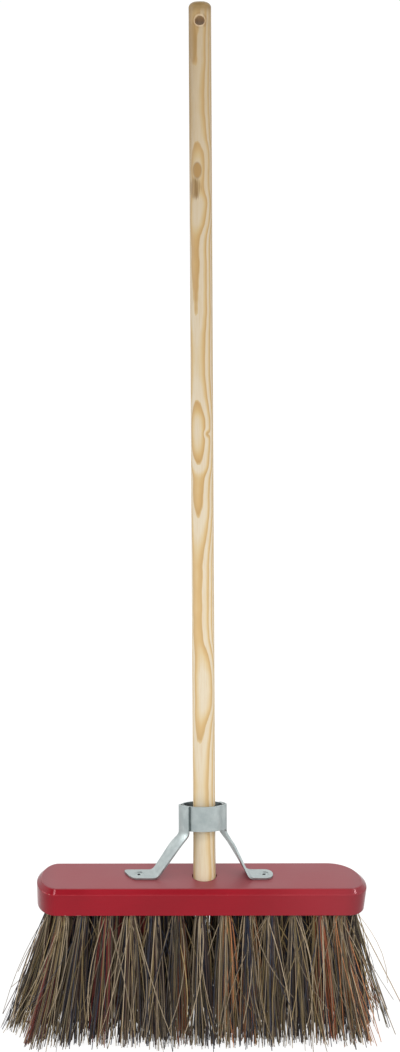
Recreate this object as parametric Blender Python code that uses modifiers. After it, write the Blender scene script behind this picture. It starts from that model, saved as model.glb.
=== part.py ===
"""Yard broom in metres, +Z up, standing on its bristle tips.

A painted hardwood stock is drilled from below for staggered rows of fibre tufts. A round pine
handle leans back out of a blind socket in its top. Two pressed steel stays are screwed to the
stock and climb to the handle, where their bands lap round it as a loose collar.
X runs along the stock, -Y is its front and +Y is the sweeper's side, where the handle leans.
"""
from math import atan2, ceil, cos, hypot, pi, radians, sin, sqrt, tan
from random import Random

import bmesh
import bpy
from mathutils import Matrix, Vector

# Stock
STOCK_LENGTH = 0.330
STOCK_DEPTH = 0.066
STOCK_HEIGHT = 0.028
STOCK_CHAMFER = 0.005
STOCK_END_STEPS = 18

# Handle and its socket
HANDLE_LENGTH = 0.889
HANDLE_DIAMETER = 0.0222
HANDLE_TIP_DIAMETER = 0.0204
HANDLE_TAPER_LENGTH = 0.040
HANDLE_TIP_CHAMFER = 0.0012
HANDLE_CROWN_WIDTH = 0.008
HANDLE_CROWN_HEIGHT = 0.006
HANDLE_LEAN = radians(17)
HANDLE_OFFSET = 0.003
HANDLE_STEPS = 40
HANG_HOLE_DIAMETER = 0.0095
HANG_HOLE_DROP = 0.019
HANG_HOLE_SLANT = radians(22.5)
SOCKET_DEPTH = 0.021
SOCKET_MOUTH_DIAMETER = 0.0234

# Bristles: trim is the free length below the stock
TRIM = 0.135
TUFT_HOLE_DIAMETER = 0.009
TUFT_HOLE_DEPTH = 0.010
TUFT_PITCH = 0.0235
TUFT_ROW_SPACING = 0.016
TUFT_ROWS = 4
TUFT_EDGE_WALL = 0.0025
TUFT_SOCKET_WALL = 0.0005
TUFT_TIP_RADIUS = 0.012
TUFT_RAGGED_TIPS = 0.012
STRANDS_PER_TUFT = 8
STRAND_GAP = 0.0007
SPLAY_ALONG_SHARE = 0.19
SPLAY_ACROSS_SHARE = 1.1
BRISTLE_SEED = 13

# Stays: strip steel, formed to a foot, a leg and a lapped half of the collar
STRIP_THICKNESS = 0.002
COLLAR_BORE = 0.0387
COLLAR_RISE = 0.060
COLLAR_OFFSET = 0.0015
BAND_HEIGHT = 0.025
LAP_GAP = 0.0008
LAP_ANGLE = radians(46)
JOGGLE_LENGTH = 0.008
LEG_WIDTH = 0.0195
LEFT_LEG_TURN = radians(31.2)
RIGHT_LEG_TURN = radians(20)
LEG_COLUMNS = 7
CORNER_FILLET = 0.003
KNEE_DROP = 0.0035
KNEE_RADIUS = 0.008
FLATTEN_LENGTH = 0.020
FOOT_BEND_REACH = 0.0465
FOOT_BEND_RADIUS = 0.006
FOOT_BEND_SKEW = radians(16)
LEFT_FOOT_LENGTH = 0.0272
RIGHT_FOOT_LENGTH = 0.0245
FOOT_CORNER_RADIUS = 0.0065
FOOT_SLANT_SHARE = 0.3

# Foot screws, countersunk
SCREW_FROM_BEND = 0.016
SCREW_LENGTH = 0.019
SCREW_SHANK_DIAMETER = 0.0042
SCREW_HEAD_DIAMETER = 0.0085
SCREW_HEAD_LAND = 0.0003
SCREW_POINT_LENGTH = 0.005
SCREW_RECESS_DEPTH = 0.0018
SCREW_STEPS = 20

# What every fit shares
CLEARANCE = 0.0003
OVERRUN = 0.002
MERGE_LIMIT = 0.00001

# Places worked out from the sizes above
UNDERSIDE = TRIM
STOCK_TOP = TRIM + STOCK_HEIGHT
STOCK_END_RADIUS = STOCK_DEPTH / 2
HANDLE_BURIED = SOCKET_DEPTH - CLEARANCE
HANDLE_TOP = HANDLE_LENGTH - HANDLE_BURIED
SCREW_REACH = FOOT_BEND_REACH + SCREW_FROM_BEND
BAND_RADIUS = (COLLAR_BORE + STRIP_THICKNESS) / 2
PLATE_RADIUS = BAND_RADIUS + STRIP_THICKNESS + LAP_GAP
FOOT_LEVEL = STOCK_TOP + CLEARANCE + STRIP_THICKNESS / 2
SCREW_HEAD_LEVEL = STOCK_TOP + CLEARANCE + STRIP_THICKNESS

LEAN_BACK = Matrix.Rotation(-HANDLE_LEAN, 4, "X")
HANDLE_FRAME = Matrix.Translation((HANDLE_OFFSET, 0, STOCK_TOP)) @ LEAN_BACK
COLLAR_FRAME = Matrix.Translation((COLLAR_OFFSET, 0, STOCK_TOP)) @ LEAN_BACK


def clear_scene():
    for leftover in list(bpy.data.objects):
        bpy.data.objects.remove(leftover)


def new_collection(name):
    collection = bpy.data.collections.new(name)
    bpy.context.scene.collection.children.link(collection)
    return collection


def finish(name, red, green, blue, roughness, metallic=0.0):
    """A plain Principled material of one colour."""
    material = bpy.data.materials.new(name)
    material.use_nodes = True
    shader = material.node_tree.nodes["Principled BSDF"]
    shader.inputs["Base Color"].default_value = (red, green, blue, 1)
    shader.inputs["Roughness"].default_value = roughness
    shader.inputs["Metallic"].default_value = metallic
    material.diffuse_color = (red, green, blue, 1)
    return material


def add_object(name, bm, collection, parent, material=None, smooth=True):
    """Turn a bmesh into a named object, shaded smooth where its faces nearly agree."""
    mesh = bpy.data.meshes.new(name)
    bm.to_mesh(mesh)
    bm.free()
    if smooth:
        mesh.shade_smooth()
        mesh.set_sharp_from_angle(angle=radians(30))
    thing = bpy.data.objects.new(name, mesh)
    collection.objects.link(thing)
    thing.parent = parent
    if material:
        mesh.materials.append(material)
    return thing


def add_cutter(name, bm, parent):
    cutter = add_object(name, bm, cutters, parent)
    cutter.hide_render = True
    cutter.display_type = "WIRE"
    return cutter


def cut(thing, cutter):
    boolean = thing.modifiers.new("cut " + cutter.name, "BOOLEAN")
    boolean.operation = "DIFFERENCE"
    boolean.solver = "EXACT"
    boolean.object = cutter


def turned(name, profile, steps, collection, parent, material=None):
    """Spin a profile of (radius, height) points, listed from top to bottom, round Z."""
    bm = bmesh.new()
    points = [bm.verts.new((radius, 0, height)) for radius, height in profile]
    for above, below in zip(points, points[1:]):
        bm.edges.new((above, below))
    thing = add_object(name, bm, collection, parent, material)
    screw = thing.modifiers.new("turn", "SCREW")
    screw.steps = steps
    screw.render_steps = steps
    screw.use_merge_vertices = True
    screw.merge_threshold = MERGE_LIMIT
    return thing


def quarter_arc(centre_radius, centre_height, width, height, steps):
    """Points of a rounded shoulder, from its crown down to its side."""
    turns = [pi / 2 * step / steps for step in range(steps + 1)]
    return [(centre_radius + width * sin(turn), centre_height + height * cos(turn)) for turn in turns]


def add_drill(bm, radius, top, bottom, segments, place, top_radius=None):
    """A closed cutter between two heights of a place's own Z axis."""
    middle = Matrix.Translation((0, 0, (top + bottom) / 2))
    bmesh.ops.create_cone(
        bm,
        cap_ends=True,
        segments=segments,
        radius1=radius,
        radius2=top_radius or radius,
        depth=top - bottom,
        matrix=place @ middle,
    )


def socket_offset(height):
    """How far forward the leaning socket's axis is at a height above the stock's underside."""
    return -(STOCK_HEIGHT - height) * tan(HANDLE_LEAN)


def clears_socket(x, y):
    """Whether a tuft hole leaves a wall between itself and the handle's socket."""
    socket_floor = STOCK_HEIGHT - SOCKET_DEPTH * cos(HANDLE_LEAN)
    if socket_floor > TUFT_HOLE_DEPTH:
        return True
    reach = SOCKET_MOUTH_DIAMETER / 2 + TUFT_HOLE_DIAMETER / 2 + TUFT_SOCKET_WALL
    levels = (socket_floor, TUFT_HOLE_DEPTH)
    return all(hypot(x - HANDLE_OFFSET, y - socket_offset(level)) > reach for level in levels)


def tuft_rows():
    """Centres of the tuft holes, row by row from the front, each row staggered on the last."""
    inset = STOCK_END_RADIUS - TUFT_HOLE_DIAMETER / 2 - TUFT_EDGE_WALL
    straight = (STOCK_LENGTH - STOCK_DEPTH) / 2
    rows = []
    for row in range(TUFT_ROWS):
        y = (row - (TUFT_ROWS - 1) / 2) * TUFT_ROW_SPACING
        furthest = straight + sqrt(max(inset * inset - y * y, 0))
        stagger = TUFT_PITCH / 2 if row % 2 else 0
        count = ceil(furthest / TUFT_PITCH)
        places = [stagger + step * TUFT_PITCH for step in range(-count - 1, count + 1)]
        rows.append([(x, y) for x in places if abs(x) <= furthest and clears_socket(x, y)])
    return rows


def make_stock(rows, parent):
    """The block: a round-ended outline raised and chamfered, then drilled from both sides."""
    bm = bmesh.new()
    straight = (STOCK_LENGTH - STOCK_DEPTH) / 2
    ends = []
    for side in (1, -1):
        start = bm.verts.new((side * straight, -side * STOCK_END_RADIUS, UNDERSIDE))
        arc = bmesh.ops.spin(
            bm,
            geom=[start],
            cent=(side * straight, 0, UNDERSIDE),
            axis=(0, 0, 1),
            angle=pi,
            steps=STOCK_END_STEPS,
        )
        ends.append((start, arc["geom_last"][0]))
    bm.edges.new((ends[0][1], ends[1][0]))
    bm.edges.new((ends[1][1], ends[0][0]))
    outline = bmesh.ops.contextual_create(bm, geom=bm.edges[:])["faces"]
    raised = bmesh.ops.extrude_face_region(bm, geom=outline)["geom"]
    upper = [part for part in raised if isinstance(part, bmesh.types.BMVert)]
    bmesh.ops.translate(bm, verts=upper, vec=(0, 0, STOCK_HEIGHT))
    rim = [part for part in raised if isinstance(part, bmesh.types.BMEdge)]
    bmesh.ops.bevel(
        bm, geom=rim, offset=STOCK_CHAMFER, affect="EDGES", segments=1, profile=0.5, material=-1
    )
    bmesh.ops.recalc_face_normals(bm, faces=bm.faces[:])
    paint = finish("stock_paint", 0.42, 0.02, 0.03, 0.25)
    stock = add_object("stock", bm, broom, parent, paint, smooth=False)

    holes = bmesh.new()
    for x, y in (place for row in rows for place in row):
        place = Matrix.Translation((x, y, UNDERSIDE))
        add_drill(holes, TUFT_HOLE_DIAMETER / 2, TUFT_HOLE_DEPTH, -OVERRUN, 10, place)
    cut(stock, add_cutter("tuft_holes_cutter", holes, parent))

    socket = bmesh.new()
    slope = (SOCKET_MOUTH_DIAMETER - HANDLE_TIP_DIAMETER - 2 * CLEARANCE) / 2 / SOCKET_DEPTH
    mouth = SOCKET_DEPTH / 2
    add_drill(
        socket,
        HANDLE_TIP_DIAMETER / 2 + CLEARANCE,
        mouth,
        -SOCKET_DEPTH,
        HANDLE_STEPS,
        HANDLE_FRAME,
        SOCKET_MOUTH_DIAMETER / 2 + slope * mouth,
    )
    cut(stock, add_cutter("socket_cutter", socket, parent))

    pilots = bmesh.new()
    for side in (-1, 1):
        place = Matrix.Translation((side * SCREW_REACH, 0, SCREW_HEAD_LEVEL))
        reach = SCREW_LENGTH + CLEARANCE
        add_drill(pilots, SCREW_SHANK_DIAMETER / 2 + CLEARANCE, OVERRUN, -reach, 12, place)
    cut(stock, add_cutter("pilot_holes_cutter", pilots, parent))
    return stock


def make_handle(parent):
    """The turned handle, crowned at its top and tapered into the socket.

    Its hanging hole is drilled on a slant, falling to the back, with its front mouth at the drop.
    """
    radius = HANDLE_DIAMETER / 2
    tip_radius = HANDLE_TIP_DIAMETER / 2
    taper_top = HANDLE_TAPER_LENGTH - HANDLE_BURIED
    profile = [(0, HANDLE_TOP)]
    profile += quarter_arc(
        radius - HANDLE_CROWN_WIDTH,
        HANDLE_TOP - HANDLE_CROWN_HEIGHT,
        HANDLE_CROWN_WIDTH,
        HANDLE_CROWN_HEIGHT,
        6,
    )
    profile += [
        (radius, taper_top),
        (tip_radius, HANDLE_TIP_CHAMFER - HANDLE_BURIED),
        (tip_radius - HANDLE_TIP_CHAMFER, -HANDLE_BURIED),
        (0, -HANDLE_BURIED),
    ]
    pine = finish("handle_pine", 0.78, 0.57, 0.34, 0.45)
    handle = turned("handle", profile, HANDLE_STEPS, broom, parent, pine)
    bore = bmesh.new()
    middle = HANDLE_TOP - HANG_HOLE_DROP - radius * tan(HANG_HOLE_SLANT)
    across = Matrix.Translation((0, 0, middle)) @ Matrix.Rotation(pi / 2 - HANG_HOLE_SLANT, 4, "X")
    reach = (radius + HANG_HOLE_DIAMETER / 2 * sin(HANG_HOLE_SLANT)) / cos(HANG_HOLE_SLANT) + OVERRUN
    add_drill(bore, HANG_HOLE_DIAMETER / 2, reach, -reach, 20, across)
    cut(handle, add_cutter("hang_hole_cutter", bore, parent))
    return handle


def smooth_step(value):
    value = min(max(value, 0), 1)
    return value * value * (3 - 2 * value)


def filleted_path(corners, radii, arc_steps, straight_steps):
    """Stations (point, tangent) along a bent centreline whose inner corners are rounded."""
    stations = []
    start = corners[0]
    for index, radius in enumerate(radii, 1):
        before, corner, after = corners[index - 1], corners[index], corners[index + 1]
        arriving = (corner - before).normalized()
        leaving = (after - corner).normalized()
        turn = arriving.angle(leaving)
        setback = radius * tan(turn / 2)
        arc_start = corner - arriving * setback
        for step in range(straight_steps[index - 1]):
            share = step / straight_steps[index - 1]
            stations.append((start.lerp(arc_start, share), arriving))
        inward = (leaving - arriving).normalized()
        centre = corner + inward * (radius / cos(turn / 2))
        axis = arriving.cross(leaving).normalized()
        for step in range(arc_steps + 1):
            spin = Matrix.Rotation(turn * step / arc_steps, 3, axis)
            stations.append((centre + spin @ (arc_start - centre), spin @ arriving))
        start = corner + leaving * setback
    final = (corners[-1] - start).normalized()
    for step in range(1, straight_steps[-1] + 1):
        stations.append((start.lerp(corners[-1], step / straight_steps[-1]), final))
    return stations


def leg_turn(side):
    """How far round the collar a leg stands from its own end of the stock."""
    return RIGHT_LEG_TURN if side > 0 else LEFT_LEG_TURN


def foot_length(side):
    """How far a foot runs out over the stock from its bend."""
    return RIGHT_FOOT_LENGTH if side > 0 else LEFT_FOOT_LENGTH


def band_point(along, height, side):
    """A point of the formed band: along runs round the collar from the leg's centreline."""
    joggle_start = LEG_WIDTH / 2
    sunk = smooth_step((along - joggle_start) / JOGGLE_LENGTH)
    radius = PLATE_RADIUS + (BAND_RADIUS - PLATE_RADIUS) * sunk
    half_turn = 0 if side > 0 else pi
    angle = leg_turn(side) + half_turn - along / PLATE_RADIUS
    return COLLAR_FRAME @ Vector((radius * cos(angle), radius * sin(angle), height))


def half_width_at(left):
    """Half the foot's width where this much of its length is left."""
    if left >= FOOT_CORNER_RADIUS:
        return LEG_WIDTH / 2
    rise = FOOT_CORNER_RADIUS - left
    rounded = sqrt(max(FOOT_CORNER_RADIUS * FOOT_CORNER_RADIUS - rise * rise, 0))
    return LEG_WIDTH / 2 - FOOT_CORNER_RADIUS + rounded


def leg_stations(side):
    """The leg's centreline from the collar's lower edge, over knee and foot bend, to its toe."""
    lower_edge = COLLAR_RISE - BAND_HEIGHT / 2
    root = band_point(0, lower_edge, side)
    up = COLLAR_FRAME.to_3x3() @ Vector((0, 0, 1))
    knee = root - up * KNEE_DROP
    bend = Vector((side * FOOT_BEND_REACH, 0, FOOT_LEVEL))
    toe = Vector((side * (FOOT_BEND_REACH + foot_length(side)), 0, FOOT_LEVEL))
    return filleted_path([root, knee, bend, toe], [KNEE_RADIUS, FOOT_BEND_RADIUS], 4, (1, 6, 11))


def make_stay(name, side, parent):
    """One stay: a T-shaped blank whose cross-bar is rolled into the band and whose stem is the leg."""
    step = (LEG_WIDTH + CORNER_FILLET) / LEG_COLUMNS
    between_legs = pi + leg_turn(side) - leg_turn(-side)
    band_end = (between_legs + LAP_ANGLE) * PLATE_RADIUS - LEG_WIDTH / 2
    junction_end = LEG_WIDTH / 2 + CORNER_FILLET
    band_columns = ceil((band_end - junction_end) / step)
    alongs = [column * step - LEG_WIDTH / 2 for column in range(LEG_COLUMNS)]
    alongs += [
        junction_end + (band_end - junction_end) * column / band_columns
        for column in range(band_columns + 1)
    ]
    bm = bmesh.new()
    lower_edge = COLLAR_RISE - BAND_HEIGHT / 2
    for column, row, vert in grid(bm, len(alongs) - 1, 2):
        vert.co = band_point(alongs[column], lower_edge + BAND_HEIGHT * row / 2, side)

    stations = leg_stations(side)
    lengths = [0]
    for (here, _), (there, _) in zip(stations, stations[1:]):
        lengths.append(lengths[-1] + (there - here).length)
    bend = Vector((side * FOOT_BEND_REACH, 0, FOOT_LEVEL))
    nearest = min(range(len(stations)), key=lambda index: (stations[index][0] - bend).length)
    bend_length = lengths[nearest]
    root_width = (band_point(step, lower_edge, side) - band_point(-step, lower_edge, side)).normalized()
    skewed = side * Vector((sin(FOOT_BEND_SKEW), -cos(FOOT_BEND_SKEW), 0))
    square = Vector((0, -side, 0))
    for column, row, vert in grid(bm, LEG_COLUMNS, len(stations) - 1):
        point, tangent = stations[row]
        length = lengths[row]
        twist = smooth_step(length / bend_length)
        across = root_width.slerp(skewed, twist)
        unskew = smooth_step((length - bend_length) / (foot_length(side) / 2))
        across = across.slerp(square, unskew)
        outward = across.cross(tangent).normalized()
        lean = across.dot(tangent)
        stretch = 1 / sqrt(1 - lean * lean)
        half = half_width_at(lengths[-1] - length)
        fillet = CORNER_FILLET - sqrt(
            max(CORNER_FILLET ** 2 - max(CORNER_FILLET - length, 0) ** 2, 0)
        )
        width = 2 * half + max(fillet, 0)
        along = width * column / LEG_COLUMNS - half
        flat = smooth_step(length / FLATTEN_LENGTH)
        turn = along / PLATE_RADIUS
        rolled = Vector((PLATE_RADIUS * sin(turn), PLATE_RADIUS * (cos(turn) - 1)))
        level = Vector((along * (1 + (stretch - 1) * flat), 0))
        sideways, bulge = rolled.lerp(level, flat)
        slant = along * FOOT_SLANT_SHARE * smooth_step((length - bend_length) / foot_length(side))
        vert.co = point + across * sideways + outward * bulge + tangent * slant
        if row == 0:
            vert.co = band_point(along, lower_edge, side)
    bmesh.ops.remove_doubles(bm, verts=bm.verts[:], dist=MERGE_LIMIT)
    bmesh.ops.recalc_face_normals(bm, faces=bm.faces[:])
    stay = add_object(name, bm, broom, parent, finish(name + "_zinc", 0.55, 0.58, 0.58, 0.38, 0.9))
    wall = stay.modifiers.new("strip", "SOLIDIFY")
    wall.thickness = STRIP_THICKNESS
    wall.offset = 0
    wall.use_even_offset = True
    seat = bmesh.new()
    place = Matrix.Translation((side * SCREW_REACH, 0, SCREW_HEAD_LEVEL))
    shank = SCREW_SHANK_DIAMETER / 2 + CLEARANCE
    head = SCREW_HEAD_DIAMETER / 2 + CLEARANCE
    cone = head - shank
    add_drill(seat, shank, OVERRUN, -STRIP_THICKNESS - OVERRUN, SCREW_STEPS, place)
    cut(stay, add_cutter(name + "_hole_cutter", seat, parent))
    sink = bmesh.new()
    add_drill(sink, shank, OVERRUN, -cone, SCREW_STEPS, place, head + OVERRUN)
    cut(stay, add_cutter(name + "_countersink_cutter", sink, parent))
    return stay


def grid(bm, columns, rows):
    """A flat grid whose vertices come with their column and row, to be formed by the caller."""
    made = bmesh.ops.create_grid(bm, x_segments=columns, y_segments=rows, size=1)["verts"]
    return [
        (round((vert.co.x + 1) / 2 * columns), round((vert.co.y + 1) / 2 * rows), vert)
        for vert in made
    ]


def make_screw(name, side, parent):
    """A countersunk wood screw with a cross recess, its head level with the foot."""
    head = SCREW_HEAD_DIAMETER / 2
    shank = SCREW_SHANK_DIAMETER / 2
    profile = [
        (0, 0),
        (head, 0),
        (head, -SCREW_HEAD_LAND),
        (shank, -SCREW_HEAD_LAND - (head - shank)),
        (shank, SCREW_POINT_LENGTH - SCREW_LENGTH),
        (0, -SCREW_LENGTH),
    ]
    steel = finish(name + "_steel", 0.5, 0.5, 0.5, 0.35, 0.9)
    screw = turned(name, profile, SCREW_STEPS, broom, parent, steel)
    screw.location = (side * SCREW_REACH, 0, SCREW_HEAD_LEVEL)
    recess = bmesh.new()
    add_drill(recess, shank / 2, OVERRUN, -SCREW_RECESS_DEPTH, 8, Matrix(), shank + OVERRUN / 2)
    for vert in recess.verts:
        if round(atan2(vert.co.y, vert.co.x) / (pi / 4)) % 2:
            vert.co.xy = vert.co.xy / 3
    cutter = add_cutter(name + "_recess_cutter", recess, parent)
    cutter.location = screw.location
    cut(screw, cutter)
    return screw


def make_tuft(name, x, y, chance, material, parent):
    """A root plug in its hole, with strands drawn out of it that splay to the trimmed tips."""
    bm = bmesh.new()
    radius = TUFT_HOLE_DIAMETER / 2 - CLEARANCE
    place = Matrix.Translation((x, y, UNDERSIDE))
    add_drill(bm, radius, TUFT_HOLE_DEPTH - CLEARANCE, 0, STRANDS_PER_TUFT, place)
    bm.normal_update()
    mouth = [face for face in bm.faces if face.normal.z < -0.9]
    strands = bmesh.ops.poke(bm, faces=mouth)["faces"]
    bmesh.ops.inset_individual(bm, faces=strands, thickness=STRAND_GAP / 2, use_even_offset=True)
    middle = Vector((x * (1 + SPLAY_ALONG_SHARE), y * (1 + SPLAY_ACROSS_SHARE), 0))
    tips = []
    for number, face in enumerate(strands):
        root = face.calc_center_median()
        outward = Vector((root.x - x, root.y - y, 0)).normalized()
        tip = middle + outward * TUFT_TIP_RADIUS * chance.uniform(0.45, 1)
        if number % 2:
            tip.z = TUFT_RAGGED_TIPS * chance.random()
        tips.append((root, tip))
    for part, drawn_share, thick_share in ((1, 0.42, 0.8), (2, 1, 0.55)):
        strands = bmesh.ops.extrude_discrete_faces(bm, faces=strands)["faces"]
        for face, (root, tip) in zip(strands, tips):
            target = root.lerp(tip, drawn_share)
            target.z = root.z + (tip.z - root.z) * part / 2
            centre = face.calc_center_median()
            for vert in face.verts:
                vert.co = target + (vert.co - centre) * thick_share
    return add_object(name, bm, broom, parent, material)


def make_bristles(rows, parent):
    chance = Random(BRISTLE_SEED)
    fibre = finish("bristle_fibre", 0.20, 0.13, 0.07, 0.8)
    for row_number, row in enumerate(rows, 1):
        for place_number, (x, y) in enumerate(row, 1):
            name = f"tuft_row{row_number}_{place_number:02d}"
            make_tuft(name, x, y, chance, fibre, parent)


def base_centre():
    """Middle of the broom's depth, between the front bristle tips and the back of the handle."""
    last_row = (TUFT_ROWS - 1) / 2 * TUFT_ROW_SPACING
    front = -last_row * (1 + SPLAY_ACROSS_SHARE) - TUFT_TIP_RADIUS
    back = HANDLE_TOP * sin(HANDLE_LEAN) + HANDLE_DIAMETER / 2 * cos(HANDLE_LEAN)
    return (front + back) / 2


clear_scene()
broom = new_collection("yard_broom")
cutters = new_collection("cutters")

base = bpy.data.objects.new("broom_base", None)
base.location = (0, -base_centre(), 0)
broom.objects.link(base)
lean = bpy.data.objects.new("handle_axis", None)
lean.matrix_local = HANDLE_FRAME
broom.objects.link(lean)
lean.parent = base

tuft_places = tuft_rows()
make_stock(tuft_places, base)
make_handle(lean)
make_stay("stay_left", -1, base)
make_stay("stay_right", 1, base)
make_screw("foot_screw_left", -1, base)
make_screw("foot_screw_right", 1, base)
make_bristles(tuft_places, base)
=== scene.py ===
from math import ceil, cos, exp, pi, radians, sin, sqrt, tan
from random import Random

import bmesh
import bpy
from mathutils import Matrix, Vector


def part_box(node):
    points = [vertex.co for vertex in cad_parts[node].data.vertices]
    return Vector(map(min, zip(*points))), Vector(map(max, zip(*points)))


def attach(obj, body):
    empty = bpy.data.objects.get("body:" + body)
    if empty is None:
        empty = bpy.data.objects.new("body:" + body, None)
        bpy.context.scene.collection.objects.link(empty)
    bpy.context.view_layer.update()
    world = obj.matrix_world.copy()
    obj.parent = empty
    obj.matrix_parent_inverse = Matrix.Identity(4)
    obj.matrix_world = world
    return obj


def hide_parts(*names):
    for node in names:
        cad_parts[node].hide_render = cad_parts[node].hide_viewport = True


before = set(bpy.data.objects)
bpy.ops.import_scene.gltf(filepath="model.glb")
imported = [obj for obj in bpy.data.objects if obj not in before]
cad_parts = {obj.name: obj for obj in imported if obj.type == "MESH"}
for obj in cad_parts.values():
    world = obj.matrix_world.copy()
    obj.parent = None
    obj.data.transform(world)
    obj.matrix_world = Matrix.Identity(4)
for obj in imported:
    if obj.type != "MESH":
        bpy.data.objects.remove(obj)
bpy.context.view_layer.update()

# The stock: a hardwood block with rounded ends, planed flat and chamfered all round its top.
# It is bored from below for the tufts and from above for the handle and the two screws, then
# dipped in red gloss paint, which softens every edge and rubs thin along the chamfer, where
# the pale worn line is joined by a painted highlight.
STOCK_CHAMFER = 0.005
STOCK_EDGE_ROUND = 0.0007
# each corner's end and side, and how far its round reaches along and across
STOCK_CORNERS = (
    (1, -1, 0.016, 0.018),
    (1, 1, 0.040, 0.048),
    (-1, 1, 0.021, 0.033),
    (-1, -1, 0.021, 0.033),
)
STOCK_UNDERCUT = 0.0028
STOCK_UNDERCUT_FROM = 0.120
STOCK_CORNER_STEPS = 20
TUFT_HOLE_RADIUS = 0.0045
TUFT_HOLE_DEPTH = 0.010
HOLE_LIP = 0.0004
SOCKET_DEPTH = 0.021
SOCKET_MOUTH_RADIUS = 0.0124
SOCKET_FLOOR_RADIUS = 0.0105
PILOT_RADIUS = 0.0024
PILOT_DEPTH = 0.0193
HANDLE_LEAN = radians(17)
HANDLE_OFFSET = 0.003
OVERRUN = 0.002

stock_low, stock_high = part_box("stock")
UNDERSIDE = stock_low.z
STOCK_TOP = stock_high.z
STOCK_CENTRE = Vector((0, (stock_low.y + stock_high.y) / 2, UNDERSIDE))
STOCK_END_RADIUS = (stock_high.y - stock_low.y) / 2
HANDLE_ENTRY = Vector((HANDLE_OFFSET, STOCK_CENTRE.y, STOCK_TOP))
HANDLE_FRAME = Matrix.Translation(HANDLE_ENTRY) @ Matrix.Rotation(-HANDLE_LEAN, 4, "X")
tuft_nodes = sorted(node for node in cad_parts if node.startswith("tuft"))


def plug_centre(node):
    """Where a tuft's drilled hole is, from the plug of the node that fills it."""
    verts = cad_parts[node].data.vertices
    plug = [vert.co for vert in verts if vert.co.z > UNDERSIDE + HOLE_LIP]
    low = Vector(map(min, *plug))
    high = Vector(map(max, *plug))
    middle = (low + high) / 2
    return Vector((middle.x, middle.y, UNDERSIDE))


def screw_centre(node):
    """The middle of a screw's head, level with its top."""
    low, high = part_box(node)
    return Vector(((low.x + high.x) / 2, (low.y + high.y) / 2, high.z))


def add_piece(name, bm, finish=None):
    """Turn a bmesh into a named piece, smooth but for its real edges."""
    mesh = bpy.data.meshes.new(name)
    bm.to_mesh(mesh)
    bm.free()
    mesh.shade_smooth()
    mesh.set_sharp_from_angle(angle=radians(35))
    piece = bpy.data.objects.new(name, mesh)
    bpy.context.scene.collection.objects.link(piece)
    if finish:
        mesh.materials.append(finish.material)
    return piece


def settle(piece):
    """Make a piece's modifiers part of its mesh."""
    depsgraph = bpy.context.evaluated_depsgraph_get()
    settled = bpy.data.meshes.new_from_object(piece.evaluated_get(depsgraph))
    piece.modifiers.clear()
    piece.data = settled


def bore(piece, drill):
    """Cut a bmesh of closed drills out of a piece for good."""
    cutter = add_piece("drill", drill)
    cut = piece.modifiers.new("bore", "BOOLEAN")
    cut.operation = "DIFFERENCE"
    cut.solver = "EXACT"
    cut.object = cutter
    settle(piece)
    bpy.data.objects.remove(cutter)


def add_spun(bm, profile, steps, place):
    """Spin (radius, height) points, whose first and last are on the axis, into a closed solid."""
    others = set(bm.verts)
    points = [bm.verts.new((radius, 0, height)) for radius, height in profile]
    line = points + [bm.edges.new(pair) for pair in zip(points, points[1:])]
    bmesh.ops.spin(
        bm, geom=line, cent=(0, 0, 0), axis=(0, 0, 1), angle=2 * pi, steps=steps, use_merge=True
    )
    made = [vert for vert in bm.verts if vert not in others]
    bmesh.ops.transform(bm, matrix=place, verts=made)
    bmesh.ops.remove_doubles(bm, verts=made, dist=0.00001)
    bmesh.ops.recalc_face_normals(bm, faces=bm.faces[:])


def add_drill(bm, levels, steps, place):
    """A closed drill whose (radius, height) levels run down a place's own Z axis."""
    add_spun(bm, [(0, levels[0][1]), *levels, (0, levels[-1][1])], steps, place)


def weigh_normals(piece):
    """Let the flats rule the shading where they meet a rounded edge."""
    weighing = piece.modifiers.new("flats lead", "WEIGHTED_NORMAL")
    weighing.keep_sharp = True


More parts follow.
